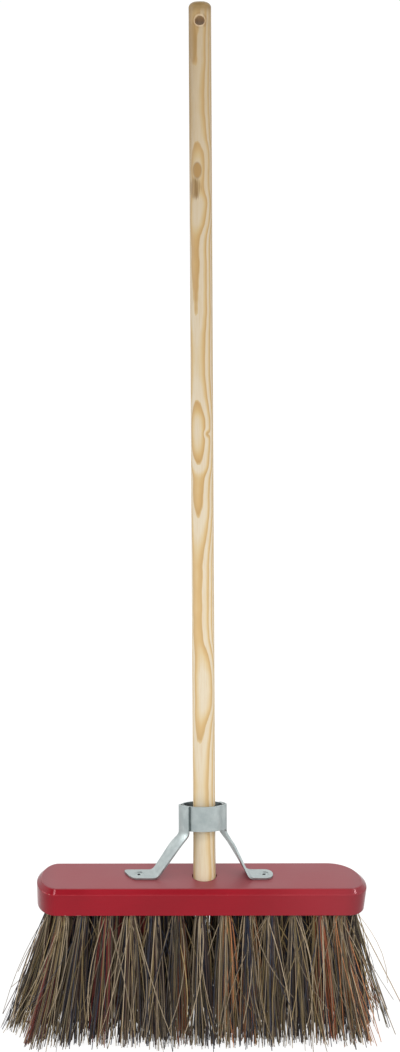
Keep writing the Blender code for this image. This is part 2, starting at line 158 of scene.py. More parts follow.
def make_stock():
    bm = bmesh.new()
    half = Vector((stock_high.x, STOCK_END_RADIUS, 0))
    arcs = []
    for turn, (end, side, along, across) in enumerate(STOCK_CORNERS):
        others = set(bm.verts)
        start = bm.verts.new(Matrix.Rotation(turn * pi / 2, 3, "Z") @ Vector((0, -1, 0)))
        arc = bmesh.ops.spin(
            bm, geom=[start], cent=(0, 0, 0), axis=(0, 0, 1), angle=pi / 2, steps=STOCK_CORNER_STEPS
        )
        hub = STOCK_CENTRE + Vector((end * (half.x - along), side * (half.y - across), 0))
        place = Matrix.Translation(hub) @ Matrix.Diagonal((along, across, 1, 1))
        made = [vert for vert in bm.verts if vert not in others]
        bmesh.ops.transform(bm, matrix=place, verts=made)
        arcs.append((start, arc["geom_last"][0]))
    for (_, end), (next_start, _) in zip(arcs, arcs[1:] + arcs[:1]):
        bm.edges.new((end, next_start))
    bmesh.ops.remove_doubles(bm, verts=bm.verts[:], dist=0.00001)
    outline = bmesh.ops.contextual_create(bm, geom=bm.edges[:])["faces"]
    raised = bmesh.ops.extrude_face_region(bm, geom=outline)["geom"]
    upper = [part for part in raised if isinstance(part, bmesh.types.BMVert)]
    lower = [vert for vert in bm.verts if vert not in upper]
    bmesh.ops.translate(bm, verts=upper, vec=(0, 0, STOCK_TOP - UNDERSIDE))
    for vert in lower:
        share = (vert.co.x - STOCK_UNDERCUT_FROM) / (half.x - STOCK_UNDERCUT_FROM)
        vert.co.x -= STOCK_UNDERCUT * max(share, 0)
    rim = [part for part in raised if isinstance(part, bmesh.types.BMEdge)]
    settings = {"affect": "EDGES", "profile": 0.5, "material": -1}
    bmesh.ops.bevel(bm, geom=rim, offset=STOCK_CHAMFER, segments=1, **settings)
    edges = [edge for edge in bm.edges if edge.calc_face_angle() > radians(30)]
    bmesh.ops.bevel(bm, geom=edges, offset=STOCK_EDGE_ROUND, segments=4, **settings)
    bmesh.ops.recalc_face_normals(bm, faces=bm.faces[:])
    stock = add_piece("painted_stock", bm)

    holes = bmesh.new()
    for node in tuft_nodes:
        levels = (
            (TUFT_HOLE_RADIUS, TUFT_HOLE_DEPTH),
            (TUFT_HOLE_RADIUS, HOLE_LIP),
            (TUFT_HOLE_RADIUS + HOLE_LIP + OVERRUN, -OVERRUN),
        )
        add_drill(holes, levels, 20, Matrix.Translation(plug_centre(node)))
    bore(stock, holes)

    socket = bmesh.new()
    slope = (SOCKET_MOUTH_RADIUS - SOCKET_FLOOR_RADIUS) / SOCKET_DEPTH
    mouth = SOCKET_DEPTH / 2
    levels = ((SOCKET_MOUTH_RADIUS + slope * mouth, mouth), (SOCKET_FLOOR_RADIUS, -SOCKET_DEPTH))
    add_drill(socket, levels, 48, HANDLE_FRAME)
    bore(stock, socket)

    pilots = bmesh.new()
    for node in ("foot_screw_left", "foot_screw_right"):
        levels = ((PILOT_RADIUS, OVERRUN), (PILOT_RADIUS, -PILOT_DEPTH))
        add_drill(pilots, levels, 16, Matrix.Translation(screw_centre(node)))
    bore(stock, pilots)
    stock.data.shade_smooth()
    stock.data.set_sharp_from_angle(angle=radians(35))
    weigh_normals(stock)
    return stock


class Wire:
    """A shader socket: arithmetic on it adds the Math nodes that do it."""

    def __init__(self, finish, socket):
        self.finish = finish
        self.socket = socket

    def output(self, name):
        return Wire(self.finish, self.socket.node.outputs[name])

    def maths(self, operation, first, second=0.0):
        return self.finish.node("ShaderNodeMath", {"operation": operation}, {0: first, 1: second})

    def __add__(self, other):
        return self.maths("ADD", self, other)

    __radd__ = __add__

    def __sub__(self, other):
        return self.maths("SUBTRACT", self, other)

    def __rsub__(self, other):
        return self.maths("SUBTRACT", other, self)

    def __mul__(self, other):
        return self.maths("MULTIPLY", self, other)

    __rmul__ = __mul__

    def __truediv__(self, other):
        return self.maths("DIVIDE", self, other)

    def __rtruediv__(self, other):
        return self.maths("DIVIDE", other, self)

    def __pow__(self, other):
        return self.maths("POWER", self, other)

    def __abs__(self):
        return self.maths("ABSOLUTE", self)


class Finish:
    """A Principled material, with the nodes that vary it over a surface."""

    def __init__(self, name, constants):
        self.material = bpy.data.materials.new(name)
        self.material.use_nodes = True
        self.tree = self.material.node_tree
        self.shader = self.tree.nodes["Principled BSDF"]
        for label, value in constants.items():
            self.shader.inputs[label].default_value = value

    def join(self, value, socket):
        if isinstance(value, Wire):
            self.tree.links.new(value.socket, socket)
        else:
            socket.default_value = value

    def node(self, kind, settings, sockets, output=0):
        """A node of one kind, its settings made first, then its sockets filled or joined."""
        made = self.tree.nodes.new(kind)
        for label, value in settings.items():
            if label == "stops":
                while len(made.color_ramp.elements) < len(value):
                    made.color_ramp.elements.new(1)
                for element, (place, colour) in zip(made.color_ramp.elements, value):
                    element.position = place
                    element.color = (*colour, 1)
            elif label == "smoothing":
                made.color_ramp.interpolation = value
            else:
                setattr(made, label, value)
        for label, value in sockets.items():
            self.join(value, made.inputs[label])
        return Wire(self, made.outputs[output])

    def feed(self, label, value):
        self.join(value, self.shader.inputs[label])

    def place(self):
        """Where a point is on the piece."""
        return self.node("ShaderNodeTexCoord", {}, {}, "Object")

    def moved(self, vector, location=(0, 0, 0), rotation=(0, 0, 0), scale=(1, 1, 1)):
        sockets = {"Vector": vector, "Location": location, "Rotation": rotation, "Scale": scale}
        return self.node("ShaderNodeMapping", {}, sockets)

    def noise(self, vector, scale, detail=2.0, roughness=0.5):
        sockets = {"Vector": vector, "Scale": scale, "Detail": detail, "Roughness": roughness}
        return self.node("ShaderNodeTexNoise", {}, sockets)

    def step(self, value, low, high, start=0.0, end=1.0):
        """A soft step from start to end as the value goes from low to high."""
        sockets = {"Value": value, "From Min": low, "From Max": high}
        sockets |= {"To Min": start, "To Max": end}
        return self.node("ShaderNodeMapRange", {"interpolation_type": "SMOOTHSTEP"}, sockets)

    def bell(self, squared):
        """One where a squared distance is nought, falling away from there like a bell."""
        return self.node("ShaderNodeMath", {"operation": "POWER"}, {0: exp(-1), 1: squared})

    def mixed(self, share, first, second):
        first = first if isinstance(first, Wire) else (*first, 1)
        second = second if isinstance(second, Wire) else (*second, 1)
        return self.node("ShaderNodeMix", {"data_type": "RGBA"}, {0: share, 6: first, 7: second}, 2)

    def bump(self, height, distance, strength=1.0):
        sockets = {"Height": height, "Distance": distance, "Strength": strength}
        return self.node("ShaderNodeBump", {}, sockets)


RED_DEEP = (0.275, 0.002, 0.010)
RED_BRIGHT = (0.328, 0.003, 0.013)
RED_END_DARKER = (0.165, 0.003, 0.009)
RED_PALE_SHEEN = (0.285, 0.096, 0.106)
RED_RUBBED_HIGHLIGHT = (0.50, 0.035, 0.045)
RED_CHIP = (0.62, 0.42, 0.36)


def red_gloss():
    """Red gloss over close-grained wood: faint grain and runs, a painted sheen on the top, darker
    towards both ends, edges chipped, and a pale line along the chamfer, partly rubbed thin and
    partly a painted highlight.
    """
    paint = Finish("red_gloss_paint", {"IOR": 1.45, "Specular Tint": (1, 0.6, 0.65, 1)})
    place = paint.place()
    along = paint.node("ShaderNodeSeparateXYZ", {}, {0: place}, "X")
    height = along.output("Z")
    grain = paint.noise(paint.moved(place, scale=(1, 14, 14)), 55.0, 4.0, 0.6)
    cloud = paint.noise(place, 14.0, 2.0)
    speckle = paint.noise(place, 900.0, 2.0)
    vivid = paint.mixed(paint.step(cloud * 0.7 + grain * 0.3, 0.3, 0.7), RED_DEEP, RED_BRIGHT)
    flat = paint.step(height, STOCK_TOP - 0.0008, STOCK_TOP - 0.0001)
    # darker towards both rounded ends
    darker_ends = paint.step(abs(along), 0.142, 0.162) * 0.8
    # painted sheen: the flat top is mixed towards a pale red; below it the paint is also mixed
    # paler towards the right end
    paling = flat * 0.68 + paint.step(along, 0.02, 0.17) * (1 - flat) * 0.22
    coat = paint.mixed(paling, paint.mixed(darker_ends, vivid, RED_END_DARKER), RED_PALE_SHEEN)
    lip = 1 - paint.step(abs(height - (STOCK_TOP - STOCK_CHAMFER)), 0.0, 0.0007)
    foot = 1 - paint.step(abs(height - (UNDERSIDE + 0.0003)), 0.0, 0.0009)
    patches = paint.step(paint.noise(place, 31.0, 2.0), 0.5, 0.62)
    chips = paint.step(paint.noise(place, 240.0, 3.0), 0.6, 0.68) * paint.step(speckle, 0.4, 0.5)
    # a paler line in patches along the chamfer's lower edge: partly paint rubbed thin, partly a
    # painted highlight
    rubbed_and_highlit = paint.mixed(lip * (0.08 + patches * 0.3), coat, RED_RUBBED_HIGHLIGHT)
    worn = (lip * patches + foot * 0.8) * chips
    paint.feed("Base Color", paint.mixed(worn * 0.8, rubbed_and_highlit, RED_CHIP))
    paint.feed("Roughness", paint.step(cloud, 0.25, 0.75, 0.15, 0.22) + speckle * 0.05 + flat * 0.2)
    relief = grain * 0.6 + speckle * 0.25 + worn * -2.0
    paint.feed("Normal", paint.bump(relief, 0.00006))
    return paint


stock = make_stock()
stock.data.materials.clear()
stock.data.materials.append(red_gloss().material)
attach(stock, "root")
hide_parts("stock")

# The tufts: bunches of stiff plant fibre, each folded and drawn into its own hole. They leave
# the stock tight and flare as they fall. Most fibres are olive or tan, some are dyed dark or
# russet, a few bend away as strays, and the rest are trimmed roughly level at the floor. The
# inner rows are darker, partly from dark fibre and partly as painted shade between the tufts.
FIBRES_PER_TUFT = 130
BUNCHES_PER_TUFT = 10
FIBRE_SIDES = 4
FIBRE_STATIONS = (0.012, 0.04, 0.11, 0.22, 0.35, 0.49, 0.64, 0.81, 1.0)
FIBRE_RADII = (0.00034, 0.00060)
# how much of a fibre's width is left after each station, and after the last
FIBRE_TAPER = 0.985
FIBRE_TIP_TAPER = 0.9
FIBRE_PLUG_RADIUS = 0.0040
FIBRE_ROOT_RISE = 0.006
FIBRE_ROOT_FLARE = 0.0028
FIBRE_FLARED_BY = 0.022
FIBRE_SPLAY_LEFT = 0.19
FIBRE_SPLAY_RIGHT = 0.10
FIBRE_SPLAY_ACROSS_SHARE = 1.05
FIBRE_FAN_RADIUS = 0.0182
FIBRE_BOWS = (0.82, 1.2)
FIBRE_SWAY = 0.014
FIBRE_LONGEST_CUT = 0.017
FIBRE_USUAL_CUT = 0.007
RIGHT_CUT_SLOPE = 0.018
RIGHT_REACH = 0.164
RIGHT_SQUEEZE = 0.3
WISP_REACH = 0.019
OUTER_FROM = 0.122
END_FROM = 0.135
END_TUCK = 0.004
END_BOW = 1.15
STRAY_SHARE = 0.085
STRAY_REACH = 0.050
STRAY_BEND = 0.055
STRAY_CUT = 0.055
STRAY_BOWS = (0.9, 1.3)
STRAYS_WITHIN = Vector((0.203, 0.072, 0))
FIBRE_SEED = 5
STRAW = (0.43, 0.335, 0.220)
TAN = (0.27, 0.205, 0.130)
OCHRE = (0.26, 0.185, 0.080)
OLIVE = (0.140, 0.112, 0.062)
GREY_OLIVE = (0.098, 0.080, 0.064)
UMBER = (0.074, 0.038, 0.028)
SOOT = (0.022, 0.016, 0.015)
BLUE_BLACK = (0.018, 0.023, 0.044)
MAROON = (0.200, 0.032, 0.027)
RUST = (0.32, 0.095, 0.040)
ORANGE = (0.50, 0.20, 0.080)
LIGHT_MIX = ((STRAW, 3), (TAN, 2), (OCHRE, 3))
LEFT_MIX = (
    (STRAW, 2), (TAN, 6), (OCHRE, 12), (OLIVE, 16),
    (GREY_OLIVE, 6), (UMBER, 18), (SOOT, 18), (BLUE_BLACK, 22),
)
RIGHT_MIX = (
    (STRAW, 4), (TAN, 11), (OCHRE, 7), (OLIVE, 17),
    (GREY_OLIVE, 18), (UMBER, 14), (SOOT, 12), (BLUE_BLACK, 17),
)
STRAY_MIX = ((STRAW, 4), (OCHRE, 3), (TAN, 1), (BLUE_BLACK, 2))
# the inner rows' darker mix: partly dark fibre, partly painted shade between the tufts
INNER_SHADED_MIX = (
    (TAN, 4), (OLIVE, 8), (GREY_OLIVE, 10), (UMBER, 20), (SOOT, 22), (BLUE_BLACK, 36)
)
RIGHT_FROM = 0.030
LIGHT_SHARE = 0.11
# how much of a bunch keeps the bunch's own colour
DYED_LOYALTY = 0.9
PLAIN_LOYALTY = 0.4
BUNCH_SHADES = (0.63, 1.15)
STRAND_SHADES = (0.65, 1.4)
DYE_WITHIN = 0.006
# how far a dyed tuft stands from the stock's middle, its dye, and how many bunches apart it is
DYED = (
    (-0.1410, MAROON, 3),
    (-0.1175, UMBER, 2),
    (-0.0940, MAROON, 2),
    (-0.0822, MAROON, 3),
    (-0.0587, MAROON, 3),
    (-0.0235, RUST, 4),
    (0.0118, RUST, 3),
    (0.0235, ORANGE, 3),
    (0.0470, ORANGE, 3),
    (0.1175, RUST, 2),
    (0.1410, ORANGE, 3),
)


def pick(mix, chance):
    """One colour out of a weighted mix."""
    colours, weights = zip(*mix)
    return chance.choices(colours, weights)[0]


def in_disc(chance):
    """A point of the unit disc, as likely near the rim as its area there."""
    reach = sqrt(chance.random())
    turn = chance.uniform(0, 2 * pi)
    return Vector((reach * cos(turn), reach * sin(turn), 0))


def fibre_point(root, tip, flare, bow, sway, drawn):
    """A point of a fibre: it leaves its hole, flares at once, and bows down to its tip."""
    point = root.lerp(tip, drawn ** bow)
    point.z = root.z + (tip.z - root.z) * drawn
    point += flare * (1 - exp(-drawn / FIBRE_FLARED_BY)) * (1 - drawn)
    return point + sway * (drawn * drawn - drawn)


def plan_fibres(node, chance):
    """Where each fibre of a tuft starts and ends, how it bends, and its colour."""
    centre = plug_centre(node)
    offset = centre - STOCK_CENTRE
    splay = FIBRE_SPLAY_RIGHT if offset.x > 0 else FIBRE_SPLAY_LEFT
    splay *= abs(offset.x) / (stock_high.x - STOCK_END_RADIUS / 2)
    spread = Vector((offset.x * (1 + splay), offset.y * (1 + FIBRE_SPLAY_ACROSS_SHARE), -UNDERSIDE))
    fan_centre = STOCK_CENTRE + spread
    outer = node.startswith(("tuft_row1", "tuft_row4")) or abs(offset.x) > OUTER_FROM
    mix = INNER_SHADED_MIX
    if outer:
        mix = RIGHT_MIX if offset.x > RIGHT_FROM else LEFT_MIX
    dyes = [(dye, every) for place, dye, every in DYED if abs(place - offset.x) < DYE_WITHIN]
    bunches = []
    for number in range(BUNCHES_PER_TUFT):
        dyed = dyes and number % dyes[0][1] == 0
        hue = dyes[0][0] if dyed else pick(mix, chance)
        loyalty = DYED_LOYALTY if dyed else PLAIN_LOYALTY
        bunches.append((in_disc(chance), hue, loyalty, chance.uniform(*BUNCH_SHADES)))
    routes = []
    for number in range(FIBRES_PER_TUFT):
        lean, hue, loyalty, shade = bunches[number % BUNCHES_PER_TUFT]
        seat = lean * 0.6 + in_disc(chance) * 0.55
        seat = seat / max(1, seat.length)
        light = chance.random() < LIGHT_SHARE
        if light:
            seat = seat / max(0.1, seat.length)
        root = centre + seat * FIBRE_PLUG_RADIUS
        true = chance.random() < loyalty
        loose = 0.3 if true and loyalty == DYED_LOYALTY else 0.7
        tip = fan_centre + (seat * 0.7 + in_disc(chance) * loose) * FIBRE_FAN_RADIUS
        if tip.x > RIGHT_REACH:
            tip.x = RIGHT_REACH + (tip.x - RIGHT_REACH) * RIGHT_SQUEEZE
        if offset.x > END_FROM and number % BUNCHES_PER_TUFT == 0:
            tip.x += WISP_REACH
        tip.z = FIBRE_LONGEST_CUT * chance.random() ** 5 + FIBRE_USUAL_CUT * chance.random() ** 1.4
        tip.z += max(offset.x, 0) * RIGHT_CUT_SLOPE
        flare = (seat * 0.7 + in_disc(chance) * 0.5) * FIBRE_ROOT_FLARE
        bow = chance.uniform(*FIBRE_BOWS)
        if abs(offset.x) > END_FROM:
            flare.x -= END_TUCK if offset.x > 0 else -END_TUCK
            bow *= END_BOW
        sway = in_disc(chance) * FIBRE_SWAY
        colour = hue if true else pick(mix, chance)
        radius = chance.uniform(*FIBRE_RADII)
        if light:
            sway = sway * 0.5
            colour = pick(LIGHT_MIX, chance)
        if chance.random() < STRAY_SHARE:
            reach = tip + in_disc(chance) * STRAY_REACH - STOCK_CENTRE
            for axis in range(2):
                reach[axis] = min(max(reach[axis], -STRAYS_WITHIN[axis]), STRAYS_WITHIN[axis])
            tip = STOCK_CENTRE + reach
            tip.z = STRAY_CUT * chance.random() ** 1.5
            bow = chance.uniform(*STRAY_BOWS)
            sway = in_disc(chance) * STRAY_BEND
            colour = pick(STRAY_MIX, chance)
        shade *= chance.uniform(*STRAND_SHADES)
        colour = [channel * shade for channel in colour] + [1]
        routes.append((root, tip, flare, bow, sway, radius, colour))
    return routes


def make_tuft(node, finish, chance):
    """One tuft of closed, tapered fibres, drawn out station by station from their roots."""
    routes = plan_fibres(node, chance)
    bm = bmesh.new()
    tint = bm.verts.layers.float_color.new("fibre_tint")
    number = bm.faces.layers.int.new("fibre_number")
    ends = []
    for index, (root, tip, flare, bow, sway, radius, colour) in enumerate(routes):
        middle = root + Vector((0, 0, FIBRE_ROOT_RISE / 2))
        made = bmesh.ops.create_cone(
            bm,
            cap_ends=True,
            segments=FIBRE_SIDES,
            radius1=radius,
            radius2=radius,
            depth=FIBRE_ROOT_RISE,
            matrix=Matrix.Translation(middle) @ Matrix.Rotation(chance.uniform(0, pi), 4, "Z"),
        )["verts"]
        for face in made[0].link_faces:
            if all(vert.co.z < middle.z for vert in face.verts):
                face[number] = index
                ends.append(face)
        for vert in made:
            vert[tint] = colour
    for drawn in FIBRE_STATIONS:
        ends = bmesh.ops.extrude_discrete_faces(bm, faces=ends)["faces"]
        for face in ends:
            root, tip, flare, bow, sway, radius, colour = routes[face[number]]
            middle = face.calc_center_median()
            target = fibre_point(root, tip, flare, bow, sway, drawn)
            slim = FIBRE_TAPER if drawn < 1 else FIBRE_TIP_TAPER
            for vert in face.verts:
                vert.co = target + (vert.co - middle) * slim
                vert.co.z = max(vert.co.z, 0)
                vert[tint] = colour
    tuft = add_piece(node.replace("tuft", "fibres"), bm, finish)
    tuft.data.shade_smooth()
    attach(tuft, "root")
    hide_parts(node)


def plant_fibre():
    """Dry fibre in its own colour, mottled along its length, a little paler at the tips."""
    fibre = Finish("plant_fibre", {"IOR": 1.45})
    tint = fibre.node("ShaderNodeAttribute", {"attribute_name": "fibre_tint"}, {}, "Color")
    place = fibre.place()
    height = fibre.node("ShaderNodeSeparateXYZ", {}, {0: place}, "Z")
    mottle = fibre.noise(fibre.moved(place, scale=(1, 1, 0.05)), 300.0, 2.0)
    bark = fibre.noise(fibre.moved(place, scale=(1, 1, 0.2)), 1500.0, 2.0)
    dark = fibre.mixed(fibre.step(mottle, 0.3, 0.7, 0.0, 0.22), tint, SOOT)
    paling = fibre.step(height, UNDERSIDE, 0.0, 0.0, 0.06) * fibre.step(mottle, 0.65, 0.35)
    fibre.feed("Base Color", fibre.mixed(paling, dark, STRAW))
    fibre.feed("Roughness", fibre.step(bark, 0.3, 0.7, 0.42, 0.62))
    fibre.feed("Normal", fibre.bump(bark, 0.00008))
    return fibre


fibre = plant_fibre()
chance = Random(FIBRE_SEED)
for node in tuft_nodes:
    make_tuft(node, fibre, chance)

# The handle: a dowel of knotty pine, crowned at its top, a touch thicker at its foot, tapered
# inside the stock and bored through to hang. The wood is sawn flat, so its rings show as long
# flames down the front and as close straight lines at the sides, and bend round knots.
HANDLE_LENGTH = 0.889
HANDLE_RADIUS = 0.0111
HANDLE_FOOT_RADIUS = 0.0114
HANDLE_TIP_RADIUS = 0.0102
HANDLE_FOOT_TOP = 0.030
HANDLE_TIP_CHAMFER = 0.0012
HANDLE_CROWN_WIDTH = 0.008
HANDLE_CROWN_HEIGHT = 0.006
HANDLE_CROWN_STEPS = 10
HANDLE_SIDES = 72
HANDLE_RUN_STEPS = 40
HANG_HOLE_RADIUS = 0.00475
HANG_HOLE_DROP = 0.019
HANG_HOLE_SLANT = radians(22.5)
HANG_HOLE_STRETCH = 1.08
HANG_HOLE_WEAR = (1.04, 0.93, 1, 1)
FIT_GAP = 0.0003

HANDLE_BURIED = SOCKET_DEPTH - FIT_GAP
HANDLE_TOP = HANDLE_LENGTH - HANDLE_BURIED


def make_handle():
    turns = [pi / 2 * step / HANDLE_CROWN_STEPS for step in range(HANDLE_CROWN_STEPS + 1)]
    core = HANDLE_RADIUS - HANDLE_CROWN_WIDTH
    shoulder = HANDLE_TOP - HANDLE_CROWN_HEIGHT
    profile = [(0, HANDLE_TOP)]
    for turn in turns:
        radius = core + HANDLE_CROWN_WIDTH * sin(turn)
        profile.append((radius, shoulder + HANDLE_CROWN_HEIGHT * cos(turn)))
    run = shoulder - HANDLE_FOOT_TOP
    for step in range(1, HANDLE_RUN_STEPS + 1):
        profile.append((HANDLE_RADIUS, shoulder - run * step / HANDLE_RUN_STEPS))
    profile += [
        (HANDLE_FOOT_RADIUS, HANDLE_FOOT_RADIUS * tan(HANDLE_LEAN)),
        (HANDLE_FOOT_RADIUS, 0),
        (HANDLE_TIP_RADIUS, HANDLE_TIP_CHAMFER - HANDLE_BURIED),
        (HANDLE_TIP_RADIUS - HANDLE_TIP_CHAMFER, -HANDLE_BURIED),
        (0, -HANDLE_BURIED),
    ]
    bm = bmesh.new()
    add_spun(bm, profile, HANDLE_SIDES, HANDLE_FRAME)
    handle = add_piece("pine_handle", bm, pine())
    middle = HANDLE_TOP - HANG_HOLE_DROP - HANDLE_RADIUS * tan(HANG_HOLE_SLANT)
    slanted = Matrix.Translation((0, 0, middle)) @ Matrix.Rotation(pi / 2 - HANG_HOLE_SLANT, 4, "X")
    reach = (HANDLE_RADIUS + HANG_HOLE_RADIUS) / cos(HANG_HOLE_SLANT) + OVERRUN
    drill = bmesh.new()
    worn = Matrix.Diagonal(HANG_HOLE_WEAR)
    levels = ((HANG_HOLE_RADIUS, reach), (HANG_HOLE_RADIUS, -reach))
    add_drill(drill, levels, 40, HANDLE_FRAME @ slanted @ worn)
    bore(handle, drill)
    handle.data.shade_smooth()
    handle.data.set_sharp_from_angle(angle=radians(40))
    weigh_normals(handle)
    return handle


RING_WIDTH = 0.0042
PITH_BEHIND = 0.036
PINE_PALE = (0.75, 0.665, 0.52)
PINE_CREAM = (0.705, 0.555, 0.320)
PINE_TAN = (0.625, 0.405, 0.165)
PINE_LATE = (0.51, 0.295, 0.10)
PINE_KNOT = (0.40, 0.205, 0.04)
PINE_SPLIT = (0.17, 0.085, 0.02)
PINE_SHADED = (0.25, 0.158, 0.055)
PINE_RESIN = (0.30, 0.155, 0.03)
PINE_BORE_SHADED = (0.48, 0.30, 0.125)
PINE_RIM = (0.62, 0.47, 0.30)
# one year's ring, from its early wood to its late wood
RING_COLOURS = (
    (0.0, PINE_PALE),
    (0.34, PINE_PALE),
    (0.56, PINE_CREAM),
    (0.74, PINE_TAN),
    (0.92, PINE_LATE),
    (1.0, PINE_CREAM),
)
FIGURE_RINGS = 4
FIGURE_DRIFT = 0.020
# how far down from the top, which ring shows there, and how far the figure drifts sideways
FIGURE = (
    (0.000, 0.62, -0.006),
    (0.060, 1.00, -0.006),
    (0.105, 1.30, -0.005),
    (0.135, 1.06, -0.004),
    (0.148, 0.66, -0.003),
    (0.185, 0.60, -0.003),
    (0.199, 0.20, -0.003),
    (0.219, 0.40, -0.005),
    (0.230, 0.72, -0.007),
    (0.265, 0.80, -0.007),
    (0.306, 0.98, -0.006),
    (0.330, 1.34, -0.005),
    (0.370, 1.34, -0.005),
    (0.389, 1.02, -0.005),
    (0.405, 0.60, -0.005),
    (0.424, 0.38, -0.005),
    (0.443, 0.60, -0.005),
    (0.458, 1.04, -0.004),
    (0.466, 1.56, -0.004),
    (0.485, 1.70, -0.005),
    (0.508, 1.98, -0.004),
    (0.525, 2.30, -0.005),
    (0.545, 2.62, -0.006),
    (0.590, 2.72, -0.007),
    (0.628, 2.72, -0.006),
    (0.645, 2.52, -0.002),
    (0.668, 2.25, 0.000),
    (0.695, 2.32, 0.000),
    (0.714, 2.66, -0.003),
    (0.733, 3.00, -0.004),
    (0.780, 3.35, -0.004),
    (0.868, 3.10, -0.003),
)
# how far across and down from the top, half width, half length, rings taken off, core radius
KNOTS = (
    (-0.0032, 0.1655, 0.0060, 0.0115, -0.50, 0.0042),
    (0.0050, 0.4250, 0.0030, 0.0036, 0.7, 0.0),
)
CORE_STRETCH = 1.85
# how far across and down from the top, half width, half length
CRACK = (-0.0052, 0.1828, 0.0056, 0.0108)
RESIN_STREAK = (-0.0070, 0.040, 0.0042, 0.0215)


def squared_off(wood, across, drop, centre_across, centre_drop, half_width, half_length):
    """How far a point is from an oval's middle, squared: one on the oval itself."""
    sideways = (across - centre_across) / half_width
    lengthways = (drop - centre_drop) / half_length
    return sideways * sideways + lengthways * lengthways


def pine():
    """Varnished pine, its colour worked out from the distance to the pith of the tree, with painted
    shade towards the top and along the upper left edge, painted light towards the foot, and a hang
    hole darkened partly by painted shade.
    """
    wood = Finish("pine_wood", {"IOR": 1.47})
    lean = Matrix.Rotation(HANDLE_LEAN, 3, "X")
    local = wood.moved(wood.place(), location=-(lean @ HANDLE_ENTRY), rotation=(HANDLE_LEAN, 0, 0))
    axes = wood.node("ShaderNodeSeparateXYZ", {}, {0: local}, "X")
    across, behind, drop = axes, axes.output("Y"), HANDLE_TOP - axes.output("Z")
    stops = [
        (down / HANDLE_LENGTH, (rings / FIGURE_RINGS, drift / FIGURE_DRIFT + 0.5, 0))
        for down, rings, drift in FIGURE
    ]
    settings = {"stops": stops, "smoothing": "CARDINAL"}
    figure = wood.node("ShaderNodeValToRGB", settings, {0: drop / HANDLE_LENGTH})
    channels = wood.node("ShaderNodeSeparateColor", {}, {0: figure}, "Red")
    rings, drift = channels * FIGURE_RINGS, (channels.output("Green") - 0.5) * FIGURE_DRIFT
    wobble = wood.noise(wood.moved(local, scale=(0.3, 0.3, 1)), 38.0, 2.0)
    pith_across = drift * (PITH_BEHIND / HANDLE_RADIUS)
    pith_x = across + pith_across
    pith_y = behind - PITH_BEHIND
    reach = (pith_x * pith_x + pith_y * pith_y) ** 0.5
    furthest = (pith_across * pith_across + PITH_BEHIND ** 2) ** 0.5 + HANDLE_RADIUS
    ring = rings + (furthest - reach) / RING_WIDTH + (wobble - 0.5) * 0.35
    facing = wood.step(behind, 0.002, -0.004)
    core = 0.0
    for knot_across, knot_drop, half_width, half_length, lifted, core_radius in KNOTS:
        near = squared_off(wood, across, drop, knot_across, knot_drop, half_width, half_length)
        ring = ring + wood.bell(near) * facing * lifted
        if core_radius:
            half_height = core_radius * CORE_STRETCH
            near = squared_off(wood, across, drop, knot_across, knot_drop, core_radius, half_height)
            core = core + wood.step(near + (wobble - 0.5) * 0.8, 1.25, 0.8) * facing
            core_edge = wood.step(abs(near - 1.0), 0.45, 0.0) * facing
    waver = wood.noise(wood.moved(local, scale=(1, 1, 0.05)), 260.0, 3.0)
    phase = wood.node("ShaderNodeMath", {"operation": "FRACT"}, {0: ring + (waver - 0.5) * 0.2})
    bands = wood.node("ShaderNodeValToRGB", {"stops": RING_COLOURS}, {0: phase})
    flecks = wood.noise(wood.moved(local, scale=(1, 1, 0.03)), 1400.0, 3.0, 0.6)
    blotch = wood.noise(wood.moved(local, scale=(1, 1, 0.15)), 45.0, 2.0)
    # paler in random blotches, and paler towards the foot as painted light
    blotched_and_lit_below = wood.step(blotch, 0.3, 0.7, 0.0, 0.18) + wood.step(drop, 0.35, 0.8) * 0.25
    softened = wood.mixed(blotched_and_lit_below, bands, PINE_CREAM)
    pored = wood.mixed(wood.step(flecks, 0.42, 0.7, 0.0, 0.28), softened, PINE_TAN)
    cored = wood.mixed(core * 0.9, pored, PINE_KNOT)
    knotty = wood.mixed(core_edge * 0.4, cored, PINE_SPLIT)
    ragged = (waver - 0.5) * 4.5 + (flecks - 0.5) * 3.0
    crack = wood.step(squared_off(wood, across, drop, *CRACK) + ragged, 1.2, 0.5) * facing
    split = wood.mixed(crack * wood.step(waver, 0.4, 0.56, 0.45, 1.0), knotty, PINE_SPLIT)
    streak = squared_off(wood, across, drop, *RESIN_STREAK) + (waver - 0.5) * 0.6
    streak = wood.step(streak, 1.15, 0.6)
    resinous = wood.mixed(streak * facing * 0.68, split, PINE_RESIN)
    # painted shade: darker towards the top and along the upper left edge, and darker still at the
    # crown
    top_shade = wood.node("ShaderNodeMapRange", {}, {0: drop, 1: 0.6, 2: 0.0, 3: 0.0, 4: 0.68})
    left_edge_shade = wood.step(across, -0.003, -0.0105) * wood.step(drop, 0.24, 0.10) * 0.5
    left_edge_shade = left_edge_shade + wood.step(across, -0.0085, -0.0108) * wood.step(drop, 0.20, 0.05) * 0.25
    crowned = wood.step(drop, 0.014, 0.003) * 0.4
    shade_painted = wood.mixed(top_shade * (1 - left_edge_shade) + left_edge_shade + crowned, resinous, PINE_SHADED)
    hole_height = HANG_HOLE_RADIUS * HANG_HOLE_STRETCH
    mouth = squared_off(wood, across, drop, 0.0, HANG_HOLE_DROP, HANG_HOLE_RADIUS, hole_height)
    smudge = wood.step(mouth + (blotch - 0.5) * 3, 3.2, 1.4) * wood.step(waver, 0.42, 0.62) * facing
    smudged = wood.mixed(smudge * 0.5, shade_painted, PINE_SPLIT)
    rim = wood.step(mouth, 1.8, 1.2) * facing * wood.step(blotch, 0.35, 0.6, 0.1, 0.6)
    rimmed = wood.mixed(rim, smudged, PINE_RIM)
